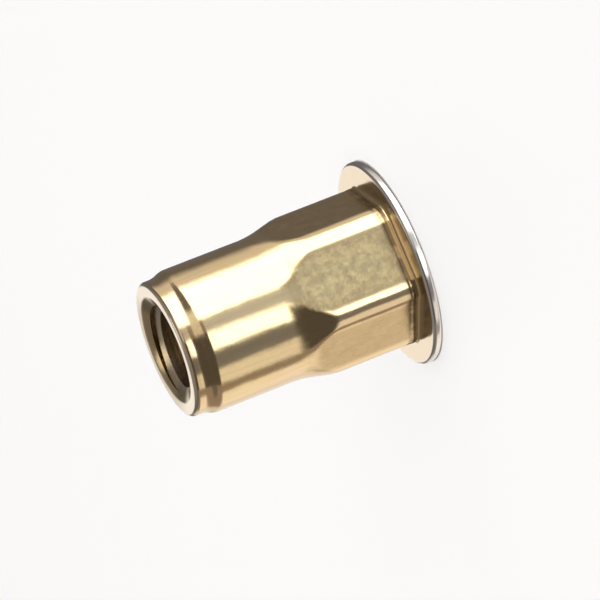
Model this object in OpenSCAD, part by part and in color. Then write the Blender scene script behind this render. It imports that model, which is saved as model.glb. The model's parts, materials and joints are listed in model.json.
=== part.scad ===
// Half-hexagonal rivet nut with a flat flange: a blind threaded insert, formed as one piece of steel.
// It stands on the outer face of its flange, which is the plane z = 0. The nose points up, along +Z,
// and the axis of the nut is the Z axis. All sizes are in millimetres.

/* [Flange] */
// Diameter of the flange
flange_d = 12.8; // [11.4:0.1:16]
// Thickness of the flange
flange_t = 0.55; // [0.45:0.05:1.6]
// Radius of the two edges of the flange's rim
rim_round = 0.2; // [0.1:0.025:0.25]

/* [Hexagonal shank] */
// Width across the flats
across_flats = 9; // [8.6:0.1:10]
// Radius of the hexagon's six corners
corner_round = 1.5; // [0.5:0.1:2.5]
// Length of the corners, from the flange to the start of the flare
hex_len = 5.35; // [2:0.05:7.5]
// Slope of the flare between the corners and the round shank, in degrees from the axis
flare_angle = 13.5; // [9:0.5:40]
// Radius of the hollow where the hexagon stands on the flange
root_round = 0.1; // [0.05:0.05:0.4]

/* [Round shank] */
// Overall length, from the flange's outer face to the end of the nose
overall_len = 15.05; // [13:0.05:22]
// How far the round shank lies inside the flats
shank_relief = 0.025; // [0.01:0.005:0.1]

/* [Nose] */
// Step down from the round shank to the nose, on the radius
nose_step = 0.25; // [0.05:0.025:0.35]
// Length of the nose, from its end to the shoulder
nose_len = 0.8; // [0.4:0.05:1.5]
// Length of the tapered shoulder between the nose and the round shank
shoulder_len = 0.75; // [0.3:0.05:1.5]
// Radius of the rounded lip at the end of the nose
lip_round = 0.25; // [0.1:0.05:0.75]

/* [Bore] */
// Diameter of the threaded bore, at the crests of the thread
thread_minor_d = 5; // [4.2:0.1:5.6]
// Length of the threaded bore, with the countersink at the nose
thread_len = 6.8; // [4:0.1:9]
// Diameter of the countersink in the end of the nose
mouth_d = 6.7; // [5.8:0.1:7]
// Angle of that countersink, in degrees across the cone
mouth_angle = 120; // [60:5:140]
// Diameter of the plain bore that runs in from the flange
plain_bore_d = 7; // [6.2:0.1:7.4]
// Angle of the drilled end of the plain bore, in degrees across the cone
drill_angle = 118; // [90:1:140]
// Width of the chamfer where the plain bore opens in the flange
entry_chamfer = 0.3; // [0.1:0.05:0.6]

/* [Hidden] */
$fn = 96;

// A shape that is cut away, or that joins another, runs past the surface by this much
overlap = 0.2;
sides = 6;
side_turn = 360 / sides;

flange_r = flange_d / 2;
flat_r = across_flats / 2;
// The corners' arcs are drawn about the corners of a smaller hexagon, whose sides are as long as its radius
corner_centre_r = (flat_r - corner_round) / cos(side_turn / 2);
flat_len = corner_centre_r;
// They are this much larger than tangent arcs, so they meet the flats at a slight angle
corner_arc_ratio = 1.005;
corner_arc_r = corner_round * corner_arc_ratio;
corner_r = corner_centre_r + corner_arc_r;

shank_r = flat_r - shank_relief;
hex_end_z = flange_t + hex_len;
flare_slope = tan(flare_angle);
flare_end_z = hex_end_z + (corner_r - shank_r) / flare_slope;

nose_r = shank_r - nose_step;
nose_z = overall_len - nose_len;
shoulder_z = nose_z - shoulder_len;

thread_r = thread_minor_d / 2;
thread_z = overall_len - thread_len;
plain_bore_r = plain_bore_d / 2;
plain_bore_end_z = thread_z - (plain_bore_r - thread_r) / tan(drill_angle / 2);
mouth_r = mouth_d / 2;
mouth_slope = tan(mouth_angle / 2);
mouth_z = overall_len - (mouth_r - thread_r) / mouth_slope;

// The lip's arc fits between the countersink and the outside of the nose
lip_r = min(lip_round, nose_len, nose_r - mouth_r);
// The hollow's arc is this much larger than a tangent one, so it meets flat and flange at a slight angle
root_arc_ratio = 1.03;
// Around the corners the hollow is this much fuller than along the flats, whose stretches end inside it
corner_root_ratio = 1.1;
corner_root_round = root_round * corner_root_ratio;

// Section of the flange, with its rim's edges rounded
module flange_section() {
    square([flange_r - rim_round, flange_t]);
    translate([0, rim_round]) square([flange_r, flange_t - 2 * rim_round]);
    for (edge_z = [rim_round, flange_t - rim_round])
        translate([flange_r - rim_round, edge_z]) circle(rim_round);
}

// Section of the round shank, its shoulder and the nose with its rounded lip
module shank_section() {
    polygon([
        [0, 0],
        [shank_r, 0],
        [shank_r, shoulder_z],
        [nose_r, nose_z],
        [nose_r, overall_len - lip_r],
        [nose_r - lip_r, overall_len],
        [0, overall_len]
    ]);
    translate([nose_r - lip_r, overall_len - lip_r]) circle(lip_r);
}

// Hexagon with rounded corners, with two of its flats facing along Y
module rounded_hexagon() {
    for (turn = [0 : side_turn : 180 - side_turn])
        rotate(turn) square([flat_len, across_flats], center = true);
    for (turn = [0 : side_turn : 360 - side_turn])
        rotate(turn) translate([corner_centre_r, 0]) circle(corner_arc_r);
}

// Section of the cone that the hexagon's corners are turned down to, so that each flat runs out in an arch
module flare_section() {
    wide_r = corner_r + overlap;
    wide_z = hex_end_z - overlap / flare_slope;
    tip_z = flare_end_z + overlap / flare_slope;
    polygon([[0, 0], [wide_r, 0], [wide_r, wide_z], [shank_r - overlap, tip_z], [0, tip_z]]);
}

module hex_shank() {
    intersection() {
        translate([0, 0, flange_t / 2]) linear_extrude(flare_end_z) rounded_hexagon();
        rotate_extrude() flare_section();
    }
}

// Section of the hollow at the root: x runs outwards from the flat, y up from the flange
module root_section(radius) {
    arc_r = radius * root_arc_ratio;
    reach = radius - sqrt(pow(arc_r, 2) - pow(radius, 2));
    difference() {
        translate([-overlap, -overlap]) square(overlap + reach);
        translate([radius, radius]) circle(arc_r);
    }
}

// The hollow follows the hexagon: straight along each flat, and round about each corner
module root_hollow() {
    translate([0, 0, flange_t])
        for (turn = [0 : side_turn : 360 - side_turn]) {
            rotate(turn + side_turn / 2) translate([flat_r, flat_len / 2, 0])
                rotate([90, 0, 0]) linear_extrude(flat_len) root_section(root_round);
            rotate(turn) translate([corner_centre_r, 0, 0])
                rotate_extrude() translate([corner_arc_r, 0]) root_section(corner_root_round);
        }
}

// Section of all that is bored out: the plain bore, its drilled end, the threaded bore and the countersink
module bore_section() {
    polygon([
        [0, -overlap],
        [plain_bore_r + entry_chamfer + overlap, -overlap],
        [plain_bore_r, entry_chamfer],
        [plain_bore_r, plain_bore_end_z],
        [thread_r, thread_z],
        [thread_r, mouth_z],
        [mouth_r + overlap * mouth_slope, overall_len + overlap],
        [0, overall_len + overlap]
    ]);
}

module rivet_nut() {
    color("goldenrod")
        difference() {
            union() {
                rotate_extrude() flange_section();
                rotate_extrude() shank_section();
                hex_shank();
                root_hollow();
            }
            rotate_extrude() bore_section();
        }
}

rivet_nut();
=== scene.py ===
# %% [markdown]
# A half-hexagonal rivet nut. It is one piece of steel: a thin flange, a shank that is pressed to a hexagon
# next to the flange and stays round towards the nose, and a thread in the nose half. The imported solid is
# the frame, and this lesson makes the surface that is seen: the same form with soft pressed edges, a real
# thread, and a yellow-passivated zinc finish. Everything is in metres, with the nut standing on its flange.

# %% Load the frame
import json
from math import atan2, cos, pi, radians, sin, tan

import bmesh
import bpy
import numpy as np
from mathutils import Matrix, Vector


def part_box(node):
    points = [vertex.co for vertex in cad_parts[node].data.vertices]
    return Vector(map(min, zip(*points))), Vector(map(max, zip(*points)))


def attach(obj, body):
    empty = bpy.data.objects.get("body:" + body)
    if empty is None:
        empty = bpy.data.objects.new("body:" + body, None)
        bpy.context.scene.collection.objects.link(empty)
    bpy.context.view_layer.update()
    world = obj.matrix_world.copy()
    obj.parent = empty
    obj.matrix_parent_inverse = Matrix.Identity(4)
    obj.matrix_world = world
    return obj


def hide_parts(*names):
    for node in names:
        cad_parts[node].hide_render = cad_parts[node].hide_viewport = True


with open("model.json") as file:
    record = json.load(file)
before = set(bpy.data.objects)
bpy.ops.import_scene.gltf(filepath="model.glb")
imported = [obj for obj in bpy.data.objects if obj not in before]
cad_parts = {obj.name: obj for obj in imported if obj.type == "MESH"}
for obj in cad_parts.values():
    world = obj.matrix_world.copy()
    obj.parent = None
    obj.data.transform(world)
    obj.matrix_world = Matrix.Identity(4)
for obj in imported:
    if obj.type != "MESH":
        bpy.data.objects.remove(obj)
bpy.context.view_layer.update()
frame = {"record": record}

# %% [markdown]
# The sizes that the solid shares with its neighbours come from the frame: its box gives the flange and the
# length, and the mounts give the bores and the flange's seat. The rest are the sizes of the forming tools,
# read off the real nut.

# %% Sizes
MM = 0.001
high_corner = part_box("rivet_nut")[1]
mounts = {mount["name"]: mount for mount in frame["record"]["mounts"]}
flange_radius = high_corner[0]
overall_length = high_corner[2]
flange_thickness = mounts["flange_seat"]["pos_m"][2]
thread_radius = mounts["thread"]["dims"]["r_mm"] * MM
plain_bore_radius = mounts["plain_bore"]["dims"]["r_mm"] * MM

flat_radius = 4.5 * MM
corner_round = 1.5 * MM
hex_length = 5.35 * MM
flare_angle = radians(13.5)
shank_relief = 0.025 * MM
shoulder_length = 0.75 * MM
nose_step = 0.25 * MM
nose_length = 0.8 * MM
mouth_radius = 3.35 * MM
mouth_half_angle = radians(60)
thread_length = 6.8 * MM
drill_half_angle = radians(59)
entry_chamfer = 0.3 * MM
print(f"flange {2 * flange_radius / MM:.2f} mm, length {overall_length / MM:.2f} mm")

# %% [markdown]
# The radius and the height of each corner of the section follow from those sizes. The hexagon's rounded
# corners are arcs about the corners of a smaller hexagon, and the flare is the cone that runs from them down
# to the round shank. The blank is a little wider than the corners, and its cone runs on up to that width,
# because the flats and corners are pressed into it later.

# %% Radii and heights
side_angle = pi / 3
half_side = side_angle / 2
corner_centre = (flat_radius - corner_round) / cos(half_side)
corner_radius = corner_centre + corner_round
blank_allowance = 0.35 * MM
blank_radius = corner_radius + blank_allowance
shank_radius = flat_radius - shank_relief
nose_radius = shank_radius - nose_step

hex_end = flange_thickness + hex_length
flare_slope = tan(flare_angle)
flare_end = hex_end + (corner_radius - shank_radius) / flare_slope
flare_start = flare_end - (blank_radius - shank_radius) / flare_slope
nose_start = overall_length - nose_length
shoulder_start = nose_start - shoulder_length
thread_start = overall_length - (mouth_radius - thread_radius) / tan(mouth_half_angle)
thread_end = overall_length - thread_length
plain_bore_end = thread_end - (plain_bore_radius - thread_radius) / tan(drill_half_angle)
print(f"the flare runs from {flare_start / MM:.2f} to {flare_end / MM:.2f} mm above the bench")

# %% [markdown]
# A nut like this starts as a turned or headed round blank, so it starts here as half of the blank's section.
# A plane is added and merged to one vertex, and that vertex is extruded from corner to corner. The end ring
# of the nose is slightly crowned, as steel that a punch has pushed up. Its crown is drawn a little too high,
# because the rounding in the next step takes it down to the nut's length.

# %% Draw half of the blank's section
def draw_outline(name, corners):
    """A new object, left in edit mode, whose vertices run from corner to corner of a closed outline."""
    bpy.ops.object.select_all(action="DESELECT")
    bpy.ops.mesh.primitive_plane_add(size=MM, location=(0, 0, 0))
    piece = bpy.context.object
    piece.name = name
    piece.data.name = name
    bpy.ops.object.mode_set(mode="EDIT")
    bpy.ops.mesh.select_all(action="SELECT")
    bpy.ops.mesh.merge(type="CENTER")
    places = [Vector((radius, 0, height)) for radius, height in corners]
    bpy.ops.transform.translate(value=places[0])
    for here, there in zip(places, places[1:]):
        bpy.ops.mesh.extrude_vertices_move(TRANSFORM_OT_translate={"value": there - here})
    bpy.ops.mesh.select_all(action="SELECT")
    bpy.ops.mesh.edge_face_add()
    return piece


# The shoulder is steep in its middle: its slope starts later and ends sooner by this much
shoulder_inset = 0.08 * MM
# The end ring's two edges lie this far below the end of the nut, and its crown this far above it
ring_drop = 0.05 * MM
crown_rise = 0.0166 * MM
crown_from_mouth = 0.35 * MM

bore_mouth = (plain_bore_radius + entry_chamfer, 0)
rim_foot = (flange_radius, 0)
rim_top = (flange_radius, flange_thickness)
root = (blank_radius, flange_thickness)
flare_foot = (blank_radius, flare_start)
flare_tip = (shank_radius, flare_end)
shoulder_foot = (shank_radius, shoulder_start + shoulder_inset)
shoulder_tip = (nose_radius, nose_start - shoulder_inset)
lip = (nose_radius, overall_length - ring_drop)
crown = (mouth_radius + crown_from_mouth, overall_length + crown_rise)
mouth = (mouth_radius, overall_length - ring_drop)
thread_top = (thread_radius, thread_start)
thread_foot = (thread_radius, thread_end)
drilled_end = (plain_bore_radius, plain_bore_end)
chamfer_end = (plain_bore_radius, entry_chamfer)
nut = draw_outline("rivet_nut_surface", [
    bore_mouth, rim_foot, rim_top, root, flare_foot, flare_tip, shoulder_foot, shoulder_tip,
    lip, crown, mouth, thread_top, thread_foot, drilled_end, chamfer_end,
])
print("section corners:", len(bmesh.from_edit_mesh(nut.data).verts))

# %% [markdown]
# Forming tools leave no sharp edge. Each corner of the section is rounded by a vertex bevel, whose offset is
# how far the rounding reaches along both edges. The longest one lies where the flare runs into the round
# shank, because the steel has flowed there, and the mouth of the nose keeps a crisp edge.

# %% Round the corners of the section
def round_corner(corner, reach, segments):
    """Bevels the one vertex of the outline that lies at a corner."""
    bpy.ops.mesh.select_all(action="DESELECT")
    outline = bmesh.from_edit_mesh(nut.data)
    place = Vector((corner[0], 0, corner[1]))
    nearest = min(outline.verts, key=lambda vertex: (vertex.co - place).length)
    nearest.select_set(True)
    bmesh.update_edit_mesh(nut.data)
    bpy.ops.mesh.bevel(offset=reach, affect="VERTICES", segments=segments, profile=0.5)


rim_round = 0.2 * MM
root_round = 0.1 * MM
# Each rounding: its corner, its reach along both edges and its number of segments
ROUNDINGS = [
    (rim_foot, rim_round, 6),
    (rim_top, rim_round, 6),
    (root, root_round, 4),
    (flare_tip, 0.6 * MM, 10),
    (shoulder_foot, 0.2 * MM, 8),
    (shoulder_tip, 0.28 * MM, 8),
    (lip, 0.25 * MM, 8),
    (crown, 0.25 * MM, 6),
    (mouth, 0.08 * MM, 3),
    (bore_mouth, 0.06 * MM, 2),
]
for corner, reach, segments in ROUNDINGS:
    round_corner(corner, reach, segments)
print("section vertices after rounding:", len(bmesh.from_edit_mesh(nut.data).verts))

# %% [markdown]
# Pressing flats needs vertices to move, so the long edges are subdivided: closely where each flat runs out
# in an arch across the cone, and loosely along the round shank. Nothing inside the bore is touched. The
# outline's face has served its turn and is deleted first, because only edges are spun.

# %% Subdivide the outside of the section
# What lies further out than the middle of the wall belongs to the outside of the nut
wall_depth = 0.5 * MM
outside = shank_radius - wall_depth
# An edge is cut if it is longer than this many spacings
LONG_EDGE = 1.5


def is_long(edge, lowest, highest, spacing):
    """Whether an edge lies in a stretch of the outside, and is well over one spacing long."""
    middle = (edge.verts[0].co + edge.verts[1].co) / 2
    in_stretch = lowest < middle.z < highest and middle.x > outside
    return in_stretch and edge.calc_length() > LONG_EDGE * spacing


def subdivide_stretch(lowest, highest, spacing):
    """Cuts the edges in a stretch of the outside into pieces of about one spacing."""
    while True:
        outline = bmesh.from_edit_mesh(nut.data)
        long_edges = [edge for edge in outline.edges if is_long(edge, lowest, highest, spacing)]
        if not long_edges:
            return
        bpy.ops.mesh.select_all(action="DESELECT")
        long_edges[0].select_set(True)
        bmesh.update_edit_mesh(nut.data)
        cuts = round(long_edges[0].calc_length() / spacing) - 1
        bpy.ops.mesh.subdivide(number_cuts=max(cuts, 1))


seat_spacing = 0.12 * MM
arch_spacing = 0.05 * MM
flat_spacing = 0.06 * MM
round_spacing = 0.6 * MM
margin = 0.1 * MM
bpy.ops.mesh.select_all(action="SELECT")
bpy.ops.mesh.delete(type="ONLY_FACE")
subdivide_stretch(flange_thickness - margin, flange_thickness + margin, seat_spacing)
subdivide_stretch(flare_start - margin, flare_end + margin, arch_spacing)
subdivide_stretch(flange_thickness, flare_start, flat_spacing)
subdivide_stretch(flare_end, overall_length, round_spacing)
print("rings:", len(bmesh.from_edit_mesh(nut.data).verts))

# %% [markdown]
# A full spin of the outline about the axis makes the whole blank, as a lathe does. It could also be a Screw
# modifier, but a spin in edit mode leaves plain rings to press. Its first and last rows lie on each other,
# so they are merged, and the normals are turned outwards.

# %% Spin the blank
TURN_STEPS = 360
merge_distance = 0.0005 * MM
bpy.ops.mesh.select_all(action="SELECT")
bpy.ops.mesh.spin(steps=TURN_STEPS, angle=2 * pi, center=(0, 0, 0), axis=(0, 0, 1))
bpy.ops.mesh.select_all(action="SELECT")
bpy.ops.mesh.remove_doubles(threshold=merge_distance)
bpy.ops.mesh.normals_make_consistent(inside=False)
bpy.ops.object.mode_set(mode="OBJECT")
print("faces of the blank:", len(nut.data.polygons))

# %% [markdown]
# The hexagon is pressed into the round blank. Cutting it with planes would leave knife edges and thin
# faces, so the vertices are pushed inwards by a formula instead, which keeps the tidy rings. The radius of
# a rounded hexagon is known at every angle, and a smooth minimum of it and of the blank's own radius turns
# the edge of each flat into the soft arch that a press leaves.

# %% The hexagon's radius
def hexagon_radius(angle):
    """Radius of the rounded hexagon at each angle; its corners lie at multiples of 60 degrees."""
    from_corner = (angle + half_side) % side_angle - half_side
    from_flat = half_side - np.abs(from_corner)
    on_flat = flat_radius / np.cos(from_flat)
    across = corner_centre * np.sin(from_corner)
    reach = np.sqrt(np.maximum(corner_round ** 2 - across ** 2, 0))
    on_corner = corner_centre * np.cos(from_corner) + reach
    arc_end_across = corner_round * sin(half_side)
    arc_end_along = corner_centre + corner_round * cos(half_side)
    corner_span = atan2(arc_end_across, arc_end_along)
    return np.where(np.abs(from_corner) < corner_span, on_corner, on_flat)


def smooth_minimum(one, other, softness):
    """The lesser of two values, blended where they differ by less than the softness."""
    blend = np.maximum(softness - np.abs(one - other), 0) / softness
    return np.minimum(one, other) - blend ** 2 * softness / 4


def vertex_places(piece):
    """The radius, the angle and the height of each of a piece's vertices."""
    flat_list = np.empty(3 * len(piece.data.vertices))
    piece.data.vertices.foreach_get("co", flat_list)
    x, y, z = flat_list.reshape(-1, 3).T
    return np.hypot(x, y), np.arctan2(y, x), z


print(f"across the corners: {2 * hexagon_radius(0.0) / MM:.2f} mm")

# %% [markdown]
# The press doesn't reach down to the flange: at the foot of each flat a low step stays, and the hollow at
# the root slides inwards with it. Past the flare the press lifts off the round shank little by little, so
# that the tips of the arches fade out without a line.

# %% Press the flats
press_softness = 0.1 * MM
foot_step = 0.02 * MM
foot_height = 0.45 * MM
foot_slope = 0.12 * MM
lift = 0.15 * MM
lift_lead = 0.1 * MM
lift_length = 1 * MM
touch = 0.001 * MM

radius, angle, height = vertex_places(nut)
hexagon = hexagon_radius(angle)
root_top = flange_thickness + root_round
root_edge = blank_radius + root_round
rim_edge = flange_radius - rim_round
press_foot = root_top + foot_height

on_wall = (height > root_top - touch) & (height < flare_end + lift_length) & (radius > outside)
on_root = (height > flange_thickness - touch) & (height < root_top) & ~on_wall
on_root &= (radius > blank_radius - touch) & (radius < rim_edge)
lifted = lift * np.clip((height - (flare_end - lift_lead)) / lift_length, 0, 1) ** 2
stepped = foot_step * np.clip((press_foot - height) / foot_slope, 0, 1)
pressed = smooth_minimum(radius, hexagon + stepped + lifted, press_softness)
slide = np.clip((rim_edge - radius) / (rim_edge - root_edge), 0, 1)
slid = radius + slide * (hexagon + foot_step - blank_radius)
new_radius = np.where(on_wall, pressed, radius)
new_radius = np.where(on_root, slid, new_radius)
new_places = np.column_stack([new_radius * np.cos(angle), new_radius * np.sin(angle), height])
nut.data.vertices.foreach_set("co", new_places.ravel())
nut.data.update()
print(f"deepest press: {(radius - new_radius).max() / MM:.3f} mm")

# %% [markdown]
# The thread is cut as a tap cuts it. One tooth's section, a flat-topped triangle of 60 degrees, is drawn
# like the blank's section, and a Screw modifier winds it up the bore, one pitch for each turn, right-handed.
# The tooth starts and ends in the air, below the threaded stretch and above the nose.

# %% Wind the tap
pitch = 1 * MM
groove_depth = 0.5 * MM
tooth_overlap = 0.15 * MM
tooth_lead = 1.2 * MM
tooth_half_angle = radians(30)
spare_turns = 2
TAP_STEPS = 120

groove_radius = thread_radius + groove_depth
tooth_inside = thread_radius - tooth_overlap
tooth_start = plain_bore_end - tooth_lead
groove_flat = pitch / 8
half_tip = groove_flat / 2
half_base = half_tip + (groove_radius - tooth_inside) * tan(tooth_half_angle)
tap = draw_outline("tap_tooth", [
    (tooth_inside, tooth_start - half_base), (groove_radius, tooth_start - half_tip),
    (groove_radius, tooth_start + half_tip), (tooth_inside, tooth_start + half_base),
])
bpy.ops.mesh.select_all(action="SELECT")
bpy.ops.mesh.delete(type="ONLY_FACE")
bpy.ops.object.mode_set(mode="OBJECT")
winding = tap.modifiers.new("winding", "SCREW")
winding.axis = "Z"
winding.angle = 2 * pi
winding.screw_offset = pitch
winding.iterations = int((overall_length - tooth_start) / pitch) + spare_turns
winding.steps = TAP_STEPS
winding.render_steps = TAP_STEPS
print("turns of the tap:", winding.iterations)
bpy.ops.object.modifier_apply(modifier="winding")

# %% [markdown]
# The wound tooth is open at both ends, so its ends are filled, and a Boolean then takes it out of the nut.
# The grooves run out in the countersink and in the drilled end of the plain bore by themselves, as they do
# on a tapped nut. The tap has done its work and is deleted.

# %% Cut the thread
TOOTH_CORNERS = 4
bpy.ops.object.mode_set(mode="EDIT")
bpy.ops.mesh.select_all(action="SELECT")
bpy.ops.mesh.fill_holes(sides=TOOTH_CORNERS)
bpy.ops.mesh.select_all(action="SELECT")
bpy.ops.mesh.normals_make_consistent(inside=False)
bpy.ops.object.mode_set(mode="OBJECT")


def select_only(piece):
    """Makes a piece the one that the next operators act on."""
    bpy.ops.object.select_all(action="DESELECT")
    piece.select_set(True)
    bpy.context.view_layer.objects.active = piece


select_only(nut)
tapping = nut.modifiers.new("tapping", "BOOLEAN")
tapping.operation = "DIFFERENCE"
tapping.solver = "EXACT"
tapping.object = tap
bpy.ops.object.modifier_apply(modifier="tapping")
select_only(tap)
bpy.ops.object.delete()
print("faces after tapping:", len(nut.data.polygons))

# %% [markdown]
# The finish differs over the piece, so each vertex gets some numbers that the material reads as attributes.
# The first ones are for the flats: how far a vertex lies on a flat, which is satin, how worn and mottled it
# is there, and how far it lies at the foot of the hexagon, where shade is painted in the corner next to the
# flange. No two flats are worn alike.

# %% Note the flats
def ease(value, limits):
    """Runs smoothly from 0 at the first limit to 1 at the second."""
    start, end = limits
    share = np.clip((value - start) / (end - start), 0, 1)
    return share * share * (3 - 2 * share)


def fade(value, limits):
    """Runs smoothly from 1 at the first limit to 0 at the second."""
    return 1 - ease(value, limits)


def add_attribute(name, values):
    """Stores one number for each vertex of the nut."""
    attribute = nut.data.attributes.new(name, "FLOAT", "POINT")
    attribute.data.foreach_set("value", values.astype(np.float32))


radius, angle, height = vertex_places(nut)
on_outside = radius > outside
from_flat = angle % side_angle - half_side
off_flat = np.abs(radius * np.cos(from_flat) - flat_radius)
along_flat = np.abs(radius * np.sin(from_flat))
half_flat = corner_centre / 2

flat_depth = (0.004 * MM, 0.1 * MM)
flat_side = (half_flat - 0.3 * MM, half_flat + 0.2 * MM)
flat_foot = (press_foot - foot_slope, press_foot + 0.1 * MM)
flat_tip = (flare_end - 1.2 * MM, flare_end - 0.2 * MM)
flat_share = fade(off_flat, flat_depth) * fade(along_flat, flat_side)
flat_share *= ease(height, flat_foot) * fade(height, flat_tip) * on_outside

# How worn each flat is, counted around the nut from the one at 30 degrees
FLAT_WEAR = np.array([0.7, 0.8, 0.5, 0.2, 1.0, 0.3])
LESS_AT_SIDES = 0.4
flat_number = np.minimum((angle % (2 * pi)) // side_angle, len(FLAT_WEAR) - 1).astype(int)
beside = np.clip(along_flat / half_flat, 0, 1)
wear_share = flat_share * FLAT_WEAR[flat_number] * (1 - LESS_AT_SIDES * beside ** 2)

# Painted shade: the foot of each flat, in the corner next to the flange, is darkened between these heights
shade_start = (root_top + 0.1 * MM, root_top + 0.2 * MM)
shade_end = (root_top + 0.45 * MM, root_top + 0.7 * MM)
foot_shade_mask = ease(height, shade_start) * fade(height, shade_end) * on_outside
add_attribute("pressed_flat", flat_share)
add_attribute("flat_wear", wear_share)
add_attribute("shaded_foot", foot_shade_mask)
print("vertices on flats:", (flat_share > 0.5).sum())

# %% [markdown]
# Nuts rub on each other in a box, so on the rim of the flange and on the lip the film is thin and silvery.
# The flange's seat is a little paler for the same reason. In the bore the film is dull, and it is painted
# paler there to lift the dim inside. Shade is painted in the countersink, on the crests of the thread and on
# the far side of the end ring, the side away from the camera.

# %% Note the rubbed edges, the bore and the painted shade in the mouth
LIP_RUB = 0.6
SEAT_RUB = 0.35
# Painted shade: how much darker the countersink, the far side of the end ring and the thread's crests are
# made
CONE_SHADE = 0.5
FAR_SIDE_SHADE = 0.5
CREST_SHADE = 0.3
seat_height = 0.02 * MM
cone_foot = 0.01 * MM
groove_margin = 0.05 * MM
rim_limits = (flange_radius - 0.3 * MM, flange_radius - 0.1 * MM)
lip_limits = (overall_length - 0.25 * MM, overall_length - 0.05 * MM)
mouth_limits = (mouth_radius - 0.1 * MM, mouth_radius)
ring_limits = (overall_length - 0.15 * MM, overall_length)
# The far side of the end ring, away from the camera, where shade is painted, by the sine of the angle about
# the axis
far_side = (0.1, 0.7)
crest_limits = (thread_radius + 0.02 * MM, thread_radius + 0.12 * MM)
bore_limits = (thread_start - 0.02 * MM, thread_start + 0.02 * MM)
entry_limits = (flange_thickness, 2 * flange_thickness)

rim_share = ease(radius, rim_limits)
lip_share = LIP_RUB * ease(height, lip_limits) * ease(radius, mouth_limits)
seat_share = SEAT_RUB * (np.abs(height - flange_thickness) < seat_height) * on_outside
cone_shade = CONE_SHADE * fade(radius, mouth_limits) * (height > thread_start + cone_foot)
far_side_shade = FAR_SIDE_SHADE * ease(np.sin(angle), far_side) * ease(height, ring_limits)
crest_shade = CREST_SHADE * fade(radius, crest_limits) * (height < thread_start)
bore_share = fade(height, bore_limits) * ease(height, entry_limits)
bore_share *= radius < groove_radius + groove_margin
add_attribute("rubbed_edge", np.maximum.reduce([rim_share, lip_share, seat_share]))
add_attribute("bore_wall", bore_share)
add_attribute("mouth_shade", np.maximum.reduce([cone_shade, far_side_shade, crest_shade]))
print("vertices on rubbed edges:", (rim_share > 0.5).sum())

# %% [markdown]
# The new surface rides on the nut's one body and stands for the imported solid, which stays in the scene,
# hidden. Edges sharper than 35 degrees stay crisp, such as the thread's, and the rest is shaded smooth. The
# large flat faces then weigh more in the normals than the narrow ones beside them, so flats mirror evenly.

# %% Put the surface in place of the solid
crisp_angle = radians(35)
select_only(nut)
bpy.ops.object.shade_smooth_by_angle(angle=crisp_angle)
even_normals = nut.modifiers.new("even_normals", "WEIGHTED_NORMAL")
even_normals.keep_sharp = True
bpy.ops.object.modifier_apply(modifier="even_normals")
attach(nut, "root")
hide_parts("rivet_nut")
nut.data.calc_loop_triangles()
print("triangles:", len(nut.data.loop_triangles))

# %% [markdown]
# A material is a tree of nodes. A few helpers keep the trees readable: each adds one node, links what it is
# given and hands back the socket that the next one needs. Nodes are laid out in a row as they are added.

# %% Helpers for node trees
NODE_STEP = 200


def add_node(tree, kind, **settings):
    """Adds a node to the right of the others, and sets its own settings."""
    node = tree.nodes.new(kind)
    node.location.x = NODE_STEP * len(tree.nodes)
    for name, value in settings.items():
        setattr(node, name, value)
    return node


def noise(tree, coordinates, scale, detail):
    """A noise pattern whose scale is in cells for each unit of the coordinates."""
    node = add_node(tree, "ShaderNodeTexNoise")
    node.inputs["Scale"].default_value = scale
    node.inputs["Detail"].default_value = detail
    tree.links.new(coordinates, node.inputs["Vector"])
    return node.outputs["Fac"]


def spread(tree, value, low, high, least=0.0, most=1.0):
    """Runs smoothly from the least at the low value to the most at the high one."""
    node = add_node(tree, "ShaderNodeMapRange", interpolation_type="SMOOTHSTEP")
    tree.links.new(value, node.inputs["Value"])
    for name, number in (("From Min", low), ("From Max", high), ("To Min", least), ("To Max", most)):
        node.inputs[name].default_value = number
    return node.outputs["Result"]


def combine(tree, operation, one, other):
    """A Math node on two values, each a socket or a number."""
    node = add_node(tree, "ShaderNodeMath", operation=operation)
    for socket, value in zip(node.inputs, (one, other)):
        if isinstance(value, (int, float)):
            socket.default_value = value
        else:
            tree.links.new(value, socket)
    return node.outputs["Value"]


def tint(tree, share, one, other):
    """Mixes two colours, each a socket or a colour, by a share."""
    node = add_node(tree, "ShaderNodeMix", data_type="RGBA")
    sockets = {socket.identifier: socket for socket in node.inputs}
    tree.links.new(share, sockets["Factor_Float"])
    for socket, colour in ((sockets["A_Color"], one), (sockets["B_Color"], other)):
        if isinstance(colour, tuple):
            socket.default_value = (*colour, 1)
        else:
            tree.links.new(colour, socket)
    return next(socket for socket in node.outputs if socket.identifier == "Result_Color")


print("node helpers are ready")

# %% [markdown]
# Yellow passivation is a thin film over bright zinc, so the whole nut is a metal to the light. Its patterns
# are noise on Object coordinates, scaled to millimetres. Drawing the steel has left faint lines along the
# axis, so one pattern is stretched that way. The attributes say where each pattern belongs.

# %% Patterns of the plated steel
LINE_STRETCH = 0.04
steel = bpy.data.materials.new("yellow_passivated_zinc")
steel.use_nodes = True
tree = steel.node_tree
shader = tree.nodes["Principled BSDF"]
shader.inputs["Metallic"].default_value = 1.0


def place_in_mm(stretch):
    """Places on the nut in millimetres, with those along the axis multiplied by the stretch."""
    coordinates = add_node(tree, "ShaderNodeTexCoord")
    to_mm = add_node(tree, "ShaderNodeMapping")
    to_mm.inputs["Scale"].default_value = (1 / MM, 1 / MM, stretch / MM)
    tree.links.new(coordinates.outputs["Object"], to_mm.inputs["Vector"])
    return to_mm.outputs["Vector"]


def noted(name):
    """The numbers that the vertices carry under a name."""
    return add_node(tree, "ShaderNodeAttribute", attribute_name=name).outputs["Fac"]


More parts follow.
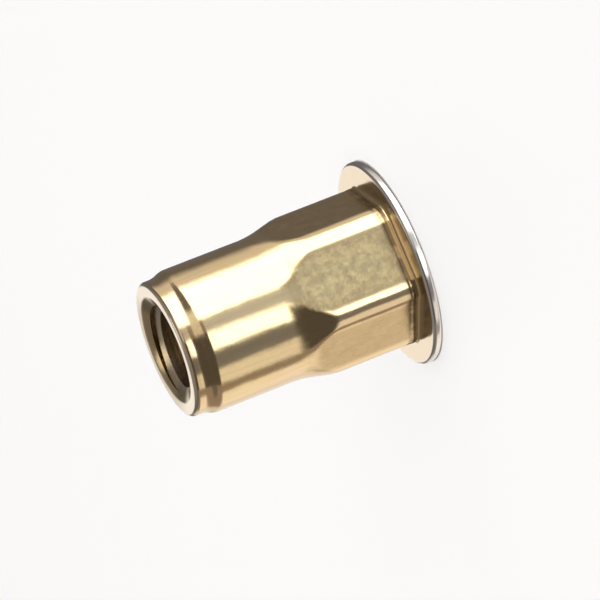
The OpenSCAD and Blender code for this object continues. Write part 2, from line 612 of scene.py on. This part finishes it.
place = place_in_mm(stretch=1)
clouds = noise(tree, place, scale=0.4, detail=3)
patches = noise(tree, place, scale=1.2, detail=8)
blotches = noise(tree, place, scale=1.8, detail=8)
speckle = noise(tree, place, scale=6.0, detail=4)
grain = noise(tree, place, scale=14.0, detail=3)
waves = noise(tree, place, scale=0.6, detail=1)
lines = noise(tree, place_in_mm(LINE_STRETCH), scale=7.0, detail=3)
flats = noted("pressed_flat")
wear = noted("flat_wear")
foot = noted("shaded_foot")
rubbed = noted("rubbed_edge")
bore = noted("bore_wall")
cone = noted("mouth_shade")
print("material:", steel.name)

# %% [markdown]
# The film is gold on the whole, with clouds of pink where it is thinner. The flats are tan, and olive where
# they are worn, with blotches of umber, and shade is painted in umber at their feet, next to the flange. The
# bore's dull film is painted paler to lift its dim inside, and shade is painted in umber in the mouth. Each
# of these is a layer of colour that covers those before it by its own share, as glazes do.

# %% Colour of the film
GOLD = (0.83, 0.66, 0.37)
PINK = (0.85, 0.62, 0.44)
TAN = (0.64, 0.47, 0.24)
OLIVE = (0.455, 0.385, 0.215)
UMBER = (0.30, 0.23, 0.13)
SILVER = (0.84, 0.83, 0.80)
# The bore's dull film, also painted paler to lift its dim inside
DULL_AND_PAINTED_LIGHT = (0.80, 0.71, 0.56)
FLAT_TAN = 0.75
RUBBED_SILVER = 0.85

pink_share = spread(tree, clouds, low=0.45, high=0.7, most=0.35)
line_share = spread(tree, lines, low=0.4, high=0.7, most=0.2)
tan_share = combine(tree, "MULTIPLY", flats, FLAT_TAN)
olive_patches = spread(tree, patches, low=0.34, high=0.66, least=0.75, most=1.0)
olive_share = combine(tree, "MULTIPLY", olive_patches, wear)
umber_blotches = spread(tree, blotches, low=0.4, high=0.64, most=0.42)
blotch_share = combine(tree, "MULTIPLY", umber_blotches, wear)
# Painted shade at the foot of the flats, broken up by patches
foot_patches = spread(tree, patches, low=0.36, high=0.58, least=0.25, most=0.9)
foot_shade_share = combine(tree, "MULTIPLY", foot_patches, foot)
silver_share = combine(tree, "MULTIPLY", rubbed, RUBBED_SILVER)
LAYERS = [
    (pink_share, PINK),
    (line_share, TAN),
    (tan_share, TAN),
    (olive_share, OLIVE),
    (blotch_share, UMBER),
    # Painted shade: umber at the foot of the flats, next to the flange
    (foot_shade_share, UMBER),
    (silver_share, SILVER),
    # Dull film in the bore, and painted light that makes it paler to lift its dim inside
    (bore, DULL_AND_PAINTED_LIGHT),
    # Painted shade in the mouth: umber in the countersink, on the crests and on the far side of the end ring
    (cone, UMBER),
]
film = GOLD
for share, colour in LAYERS:
    film = tint(tree, share, film, colour)
tree.links.new(film, shader.inputs["Base Color"])
print("layers of colour:", len(LAYERS))

# %% [markdown]
# The round parts are bright, and the flats, the rubbed edges and the bore are rougher by some amount each.
# Two bumps bend the reflections: a slow swell over the whole nut, as on any formed metal, and over it a fine
# relief of speckle, grain and drawn lines, which is strong only on worn flats.

# %% Roughness and relief
FLAT_ROUGHER = 0.08
RUBBED_ROUGHER = 0.06
BORE_ROUGHER = 0.15
WORN_RELIEF = 1.1
LEAST_RELIEF = 0.08
swell_height = 0.03 * MM
relief_height = 0.015 * MM

rough = spread(tree, speckle, low=0.3, high=0.7, least=0.12, most=0.18)
for share, rougher in ((flats, FLAT_ROUGHER), (rubbed, RUBBED_ROUGHER), (bore, BORE_ROUGHER)):
    rough = combine(tree, "ADD", rough, combine(tree, "MULTIPLY", share, rougher))
tree.links.new(rough, shader.inputs["Roughness"])

swell = add_node(tree, "ShaderNodeBump")
swell.inputs["Distance"].default_value = swell_height
tree.links.new(waves, swell.inputs["Height"])
relief = combine(tree, "ADD", combine(tree, "ADD", speckle, grain), lines)
relief_strength = combine(tree, "ADD", combine(tree, "MULTIPLY", wear, WORN_RELIEF), LEAST_RELIEF)
bump = add_node(tree, "ShaderNodeBump")
bump.inputs["Distance"].default_value = relief_height
tree.links.new(relief_strength, bump.inputs["Strength"])
tree.links.new(relief, bump.inputs["Height"])
tree.links.new(swell.outputs["Normal"], bump.inputs["Normal"])
tree.links.new(bump.outputs["Normal"], shader.inputs["Normal"])
nut.data.materials.clear()
nut.data.materials.append(steel)
print("nodes of the material:", len(tree.nodes))

# %% [markdown]
# The nut stands on a wide pale floor, which isn't part of the nut. Its colour is a soft
# white with a breath of variation, and the studio light brings it close to white without more light on the
# nut. Polished metal shows the studio around it, so what it mirrors is left to the studio's panels.

# %% Floor
FLOOR_SIZE = 6.0
FLOOR_GAP = 0.01 * MM
PAPER_LIGHT = (0.92, 0.93, 0.935)
PAPER_SHADE = (0.91, 0.92, 0.925)
PAPER_ROUGHNESS = 0.9
PAPER_SHEEN = 0.1
bpy.ops.object.select_all(action="DESELECT")
bpy.ops.mesh.primitive_plane_add(size=FLOOR_SIZE, location=(0, 0, -FLOOR_GAP))
floor = bpy.context.object
floor.name = "floor"
floor.visible_glossy = False
paper = bpy.data.materials.new("pale_paper")
paper.use_nodes = True
paper_tree = paper.node_tree
paper_shader = paper_tree.nodes["Principled BSDF"]
paper_place = add_node(paper_tree, "ShaderNodeTexCoord")
paper_clouds = noise(paper_tree, paper_place.outputs["Object"], scale=40, detail=2)
paper_tone = tint(paper_tree, paper_clouds, PAPER_LIGHT, PAPER_SHADE)
paper_tree.links.new(paper_tone, paper_shader.inputs["Base Color"])
paper_shader.inputs["Roughness"].default_value = PAPER_ROUGHNESS
paper_shader.inputs["Specular IOR Level"].default_value = PAPER_SHEEN
floor.data.materials.append(paper)
print("floor:", FLOOR_SIZE, "m")

# %% [markdown]
# Metal looks like what it mirrors, so the studio is a ring of soft panels and dark gaps around the nut. Each
# band of the ring has a colour below the horizon, one just above it and one high up. Angles are counted from
# the camera, so the direction of each ray is turned to the camera's side first.

# %% Bands of the studio
VIEW_AZIMUTH = radians(-5.4)
WHITE_PANEL = (0.90, 0.90, 0.90)
CREAM_PANEL = (0.84, 0.84, 0.84)
BACK_PANEL = (0.36, 0.345, 0.335)
SAND_PANEL = (0.36, 0.335, 0.315)
DIM_PANEL = (0.31, 0.29, 0.28)
GOLD_WALL = (0.26, 0.24, 0.23)
OLIVE_WALL = (0.208, 0.215, 0.23)
BROWN_WALL = (0.11, 0.09, 0.08)
DUSK_WALL = (0.05, 0.047, 0.045)
DIM_GAP = (0.075, 0.073, 0.08)
DARK_GAP = (0.055, 0.050, 0.052)
SHADE = (0.032, 0.028, 0.026)
# Each band: its start and end in degrees from the camera, then what is there low down, above it and high up
RING = [
    (-180, -172, DARK_GAP, BACK_PANEL, BACK_PANEL),
    (-165, -128, DARK_GAP, DUSK_WALL, DUSK_WALL),
    (-108, -94, GOLD_WALL, GOLD_WALL, DARK_GAP),
    (-81, -50, WHITE_PANEL, WHITE_PANEL, DARK_GAP),
    (-42, -28, WHITE_PANEL, WHITE_PANEL, DIM_PANEL),
    (-22, -5, OLIVE_WALL, BROWN_WALL, GOLD_WALL),
    (2, 24, CREAM_PANEL, SHADE, SHADE),
    (29, 53, DIM_GAP, SHADE, SHADE),
    (59, 83, DIM_PANEL, SHADE, SHADE),
    (88, 101, BROWN_WALL, BROWN_WALL, DARK_GAP),
    (106, 135, SAND_PANEL, BROWN_WALL, DARK_GAP),
    (141, 157, DIM_PANEL, GOLD_WALL, DUSK_WALL),
    (164, 167, DIM_PANEL, DUSK_WALL, DUSK_WALL),
    (173, 180, DIM_PANEL, BACK_PANEL, BACK_PANEL),
]

world = bpy.data.worlds.new("studio")
bpy.context.scene.world = world
world.use_nodes = True
sky = world.node_tree
direction = add_node(sky, "ShaderNodeTexCoord")
from_camera = add_node(sky, "ShaderNodeMapping")
from_camera.inputs["Rotation"].default_value = (0, 0, pi / 2 - VIEW_AZIMUTH)
sky.links.new(direction.outputs["Generated"], from_camera.inputs["Vector"])
parts = add_node(sky, "ShaderNodeSeparateXYZ")
sky.links.new(from_camera.outputs["Vector"], parts.inputs["Vector"])
turn = combine(sky, "ARCTAN2", parts.outputs["Y"], parts.outputs["X"])
turn_share = combine(sky, "SUBTRACT", 0.5, combine(sky, "DIVIDE", turn, 2 * pi))
print("studio bands:", len(RING))

# %% [markdown]
# A colour ramp on the angle about the vertical joins the bands at each of the three heights, and the rise of
# the ray mixes the heights and the ceiling. A small round panel hangs overhead, behind the nut, and glints
# in the mouth of the nose. The panels are only as bright as a plain level of light needs.

# %% Studio light
PANEL_STRENGTH = 3.0
CEILING = (0.085, 0.076, 0.074)
GLINT_PANEL = (0.50, 0.47, 0.43)
GLINT_TURN = radians(-154)
GLINT_RISE = radians(72)
GLINT_EDGE = radians(12)
GLINT_CORE = radians(7)
# Degrees above the horizon between which each height passes into the next
LOW_TO_MIDDLE = (-12, -4)
MIDDLE_TO_HIGH = (10, 14)
HIGH_TO_CEILING = (30, 42)


def ring_at(level):
    """The colours around the ring at one of its three heights, counted from 0."""
    ring = add_node(sky, "ShaderNodeValToRGB")
    ring.color_ramp.interpolation = "EASE"
    stops = ring.color_ramp.elements
    stops.remove(stops[1])
    band_colours = [(*heights[level], 1) for start, end, *heights in RING]
    stops[0].color = band_colours[0]
    for (start, end, *heights), colour in zip(RING, band_colours):
        for edge in (start, end):
            stops.new((edge + 180) / 360).color = colour
    sky.links.new(turn_share, ring.inputs["Fac"])
    return ring.outputs["Color"]


def risen(limits):
    """How far a ray has risen from one angle above the horizon to another."""
    low, high = (sin(radians(degrees)) for degrees in limits)
    return spread(sky, parts.outputs["Z"], low, high)


light = tint(sky, risen(LOW_TO_MIDDLE), ring_at(0), ring_at(1))
light = tint(sky, risen(MIDDLE_TO_HIGH), light, ring_at(2))
light = tint(sky, risen(HIGH_TO_CEILING), light, CEILING)
glint = add_node(sky, "ShaderNodeVectorMath", operation="DOT_PRODUCT")
sky.links.new(from_camera.outputs["Vector"], glint.inputs[0])
glint_level = cos(GLINT_RISE)
glint.inputs[1].default_value = (
    glint_level * cos(GLINT_TURN), -glint_level * sin(GLINT_TURN), sin(GLINT_RISE))
glint_share = spread(sky, glint.outputs["Value"], low=cos(GLINT_EDGE), high=cos(GLINT_CORE))
light = tint(sky, glint_share, light, GLINT_PANEL)
background = sky.nodes["Background"]
background.inputs["Strength"].default_value = PANEL_STRENGTH
sky.links.new(light, background.inputs["Color"])
print("nodes of the studio:", len(sky.nodes))

# %% [markdown]
# A soft round lamp overhead lights the floor and gives the nut its faint shadow. It is large, so the shadow
# has no hard edge, and metal doesn't mirror it, because the panels already make the reflections.

# %% Overhead lamp
LAMP_HEIGHT = 1.1
LAMP_SIZE = 0.5
LAMP_POWER = 9.5
bpy.ops.object.select_all(action="DESELECT")
bpy.ops.object.light_add(type="AREA", location=(0, 0, LAMP_HEIGHT))
lamp = bpy.context.object
lamp.name = "overhead_lamp"
lamp.data.shape = "DISK"
lamp.data.size = LAMP_SIZE
lamp.data.energy = LAMP_POWER
lamp.visible_glossy = False
print("lamp:", LAMP_POWER, "W at", LAMP_HEIGHT, "m")

# %% [markdown]
# The camera looks at the nut as the photograph does: a little from the nose's side, through a long lens, and
# rolled so that the axis runs from the upper right down to the lower left. The lens is long because the
# photograph shows almost no perspective.

# %% Camera
VIEW_ELEVATION = radians(15.5)
AXIS_TILT = radians(21.45)
VIEW_WIDTH = 35.52 * MM
LENS_MM = 300
SENSOR_MM = 36
AIM_RIGHT = 1.182 * MM
AIM_UP = 0.335 * MM
NEAREST_SEEN = 0.01
level_right = Vector((cos(VIEW_AZIMUTH), sin(VIEW_AZIMUTH), 0))
level_toward = Vector((sin(VIEW_AZIMUTH), -cos(VIEW_AZIMUTH), 0))
toward_camera = cos(VIEW_ELEVATION) * level_toward + sin(VIEW_ELEVATION) * Vector((0, 0, 1))
level_up = toward_camera.cross(level_right)
right = -sin(AXIS_TILT) * level_right - cos(AXIS_TILT) * level_up
up = cos(AXIS_TILT) * level_right - sin(AXIS_TILT) * level_up
aim = Vector((0, 0, overall_length / 2)) + AIM_RIGHT * right + AIM_UP * up
distance = VIEW_WIDTH * LENS_MM / SENSOR_MM
lens = bpy.data.cameras.new("camera")
lens.lens = LENS_MM
lens.sensor_width = SENSOR_MM
lens.clip_start = NEAREST_SEEN
camera = bpy.data.objects.new("camera", lens)
bpy.context.collection.objects.link(camera)
roll = Matrix((right, up, toward_camera)).transposed().to_4x4()
camera.matrix_world = Matrix.Translation(aim + distance * toward_camera) @ roll
bpy.context.scene.camera = camera
bpy.context.scene.view_settings.view_transform = "Standard"
print(f"camera at {distance / MM:.0f} mm")
